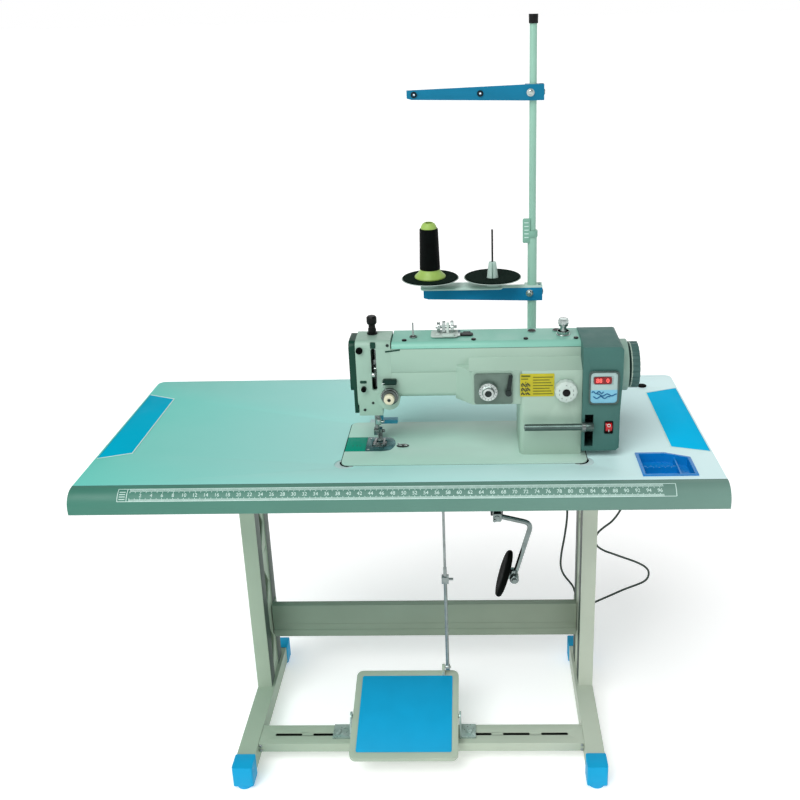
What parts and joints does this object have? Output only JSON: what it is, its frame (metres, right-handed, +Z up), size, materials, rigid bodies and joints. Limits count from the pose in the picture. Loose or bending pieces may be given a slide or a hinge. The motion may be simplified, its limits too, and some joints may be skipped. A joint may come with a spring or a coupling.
{
  "type": "industrial zigzag sewing machine with table",
  "caption": "Industrial zigzag lockstitch sewing machine with direct-drive motor, on a table with a steel stand, foot pedal, knee lifter and thread stand.",
  "frame": {"origin": "centre of the table's outline, on the floor under the feet", "axes": "+X to the operator's right along the table, +Y from the operator to the back, +Z up"},
  "size_m": [1.2, 0.535, 1.57],
  "materials": {
    "laminate": "satin",
    "moulding": "satin",
    "blue_plastic": "satin",
    "tray_plastic": "satin",
    "rubber": "matte",
    "pan_plastic": "matte",
    "stand_paint": "satin",
    "zinc": "satin",
    "box_plastic": "matte",
    "pole_tube": "satin",
    "head_paint": "satin",
    "cover_paint": "satin",
    "dark_cover": "satin",
    "plate_steel": "polished",
    "slide_paint": "satin",
    "motor_paint": "satin",
    "copper_winding": "satin",
    "panel_face": "gloss",
    "regulator_metal": "satin",
    "bronze": "satin",
    "chrome": "polished",
    "steel": "polished",
    "black_plastic": "satin",
    "white_plastic": "satin",
    "cream_plastic": "satin",
    "red_plastic": "gloss",
    "arm_blue": "satin",
    "disc_foam": "matte",
    "thread": "matte",
    "lead_jacket": "satin"
  },
  "bodies": {
    "stand": {"table_top": "laminate", "front_moulding": "moulding", "side_inlays": "blue_plastic", "parts_tray": "tray_plastic", "corner_cushions": "rubber", "oil_pan": "pan_plastic", "left_leg": "stand_paint", "right_leg": "stand_paint", "crossbeam": "stand_paint", "pedal_bar": "stand_paint", "foot_caps": "blue_plastic", "stand_bolts": "zinc", "control_boxes": "box_plastic", "pedal_brackets": "zinc", "thread_pole": "pole_tube", "pole_fittings": "black_plastic", "cable_grommet": "rubber", "control_lead": "lead_jacket"},
    "head": {"bed_casting": "head_paint", "arm_casting": "head_paint", "top_cover": "cover_paint", "face_housing": "head_paint", "face_cover": "dark_cover", "needle_plate": "plate_steel", "motor_housing": "motor_paint", "motor_stator": "copper_winding", "control_panel": "panel_face", "regulator_plate": "regulator_metal", "shaft_bushes": "bronze", "tension_unit": "chrome", "cover_fittings": "chrome", "bobbin_case": "steel", "timing_belt": "rubber"},
    "slide_plate": {"slide_plate": "slide_paint"},
    "main_shaft": {"main_shaft": "steel", "handwheel": "motor_paint"},
    "lower_shaft": {"hook_shaft": "steel"},
    "needle_frame": {"needle_bar_frame": "steel"},
    "needle_bar": {"needle_bar": "steel"},
    "take_up": {"take_up_lever": "chrome"},
    "presser": {"presser_bar": "steel"},
    "presser_screw": {"presser_knob": "black_plastic"},
    "hand_lifter": {"hand_lifter": "slide_paint"},
    "feed": {"feed_dog": "steel"},
    "reverse": {"reverse_lever": "chrome"},
    "length_dial": {"stitch_dial": "white_plastic"},
    "width_dial": {"zigzag_dial": "chrome"},
    "width_lever": {"zigzag_lever": "black_plastic"},
    "tension_nut": {"tension_knob": "cream_plastic"},
    "winder": {"winder_spindle": "chrome"},
    "switch": {"power_switch": "red_plastic"},
    "knee_lever": {"knee_lifter": "chrome"},
    "pedal": {"pedal_frame": "stand_paint", "pedal_mat": "blue_plastic"},
    "rod": {"pitman_rod": "zinc"},
    "speed": {"speed_lever": "box_plastic"},
    "upper_arm": {"guide_arm": "arm_blue"},
    "lower_arm": {"spool_arm": "arm_blue", "spool_discs": "disc_foam"},
    "cone": {"thread_cone": "thread"}
  },
  "joints": [
    {"name": "head_tilt", "type": "hinge", "parent": "stand", "child": "head", "pos_m": [0.122, 0.0295, 0.759], "axis": [-1, 0, 0], "range_deg": [0, 45]},
    {"name": "slide_plate_pull", "type": "slide", "parent": "head", "child": "slide_plate", "axis": [-1, 0, 0], "range_m": [0, 0.036]},
    {"name": "main_shaft_turn", "type": "hinge", "parent": "head", "child": "main_shaft", "pos_m": [0.2, -0.0755, 0.928], "axis": [1, 0, 0], "continuous": true},
    {"name": "lower_shaft_turn", "type": "hinge", "parent": "head", "child": "lower_shaft", "pos_m": [0.12, -0.0755, 0.738], "axis": [1, 0, 0], "continuous": true},
    {"name": "zigzag_swing", "type": "hinge", "parent": "head", "child": "needle_frame", "pos_m": [-0.046, -0.0375, 0.941], "axis": [0, 1, 0], "range_deg": [-1.3, 1.3]},
    {"name": "needle_stroke", "type": "slide", "parent": "needle_frame", "child": "needle_bar", "axis": [0, 0, 1], "range_m": [-0.03, 0]},
    {"name": "take_up_swing", "type": "hinge", "parent": "head", "child": "take_up", "pos_m": [-0.046, -0.0875, 0.93], "axis": [1, 0, 0], "range_deg": [-40, 35]},
    {"name": "presser_lift", "type": "slide", "parent": "head", "child": "presser", "axis": [0, 0, 1], "range_m": [0, 0.01]},
    {"name": "presser_screw_turn", "type": "hinge", "parent": "head", "child": "presser_screw", "pos_m": [-0.052, -0.0535, 1], "axis": [0, 0, 1], "range_deg": [-540, 540]},
    {"name": "hand_lifter_swing", "type": "hinge", "parent": "head", "child": "hand_lifter", "pos_m": [-0.05, -0.0435, 0.85], "axis": [0, -1, 0], "range_deg": [0, 60]},
    {"name": "feed_stroke", "type": "slide", "parent": "head", "child": "feed", "axis": [0, 1, 0], "range_m": [-0.003, 0.003]},
    {"name": "reverse_press", "type": "hinge", "parent": "head", "child": "reverse", "pos_m": [0.33, -0.1025, 0.815], "axis": [1, 0, 0], "range_deg": [0, 20], "stiffness_Nm_per_rad": 1, "springref_deg": -11.46},
    {"name": "length_dial_turn", "type": "hinge", "parent": "head", "child": "length_dial", "pos_m": [0.315, -0.1425, 0.902], "axis": [0, 1, 0], "range_deg": [-150, 150]},
    {"name": "width_dial_turn", "type": "hinge", "parent": "head", "child": "width_dial", "pos_m": [0.17, -0.1425, 0.903], "axis": [0, 1, 0], "range_deg": [-150, 150]},
    {"name": "width_lever_swing", "type": "hinge", "parent": "head", "child": "width_lever", "pos_m": [0.208, -0.1375, 0.898], "axis": [0, 1, 0], "range_deg": [-50, 10]},
    {"name": "tension_nut_turn", "type": "hinge", "parent": "head", "child": "tension_nut", "pos_m": [-0.018, -0.1225, 0.882], "axis": [0, 1, 0], "range_deg": [-360, 360]},
    {"name": "winder_turn", "type": "hinge", "parent": "head", "child": "winder", "pos_m": [0.09, -0.0535, 1.002], "axis": [1, 0, 0], "continuous": true},
    {"name": "power_switch_rock", "type": "hinge", "parent": "head", "child": "switch", "pos_m": [0.396, -0.1395, 0.8285], "axis": [1, 0, 0], "range_deg": [-8, 8]},
    {"name": "knee_lift", "type": "hinge", "parent": "stand", "child": "knee_lever", "pos_m": [0.184, -0.1175, 0.652], "axis": [0, -1, 0], "range_deg": [0, 15]},
    {"name": "pedal_tilt", "type": "hinge", "parent": "stand", "child": "pedal", "pos_m": [-0.021, -0.0715, 0.089], "axis": [1, 0, 0], "range_deg": [-12, 8], "stiffness_Nm_per_rad": 8},
    {"name": "rod_pivot", "type": "hinge", "parent": "pedal", "child": "rod", "pos_m": [0.072, 0.0255, 0.1425], "axis": [1, 0, 0], "range_deg": [-8.5, 12.6]},
    {"name": "speed_lever_swing", "type": "hinge", "parent": "stand", "child": "speed", "pos_m": [0.082, 0.0845, 0.64], "axis": [1, 0, 0], "range_deg": [-14, 20.5]},
    {"name": "guide_arm_swivel", "type": "hinge", "parent": "stand", "child": "upper_arm", "pos_m": [0.273, 0.2005, 1.419], "axis": [0, 0, -1], "range_deg": [-20, 60]},
    {"name": "spool_arm_swivel", "type": "hinge", "parent": "stand", "child": "lower_arm", "pos_m": [0.273, 0.2005, 0.994], "axis": [0, 0, -1], "range_deg": [-20, 60]},
    {"name": "cone_lift", "type": "slide", "parent": "lower_arm", "child": "cone", "axis": [0, 0, 1], "range_m": [0, 0.13]}
  ],
  "couplings": [
    {"joint": "lower_shaft_turn", "follows": "main_shaft_turn", "ratio": 2},
    {"joint": "presser_lift", "follows": "knee_lift", "m_per_rad": 0.03629},
    {"joint": "rod_pivot", "follows": "pedal_tilt", "ratio": -1.025},
    {"joint": "speed_lever_swing", "follows": "pedal_tilt", "ratio": -1.65}
  ]
}
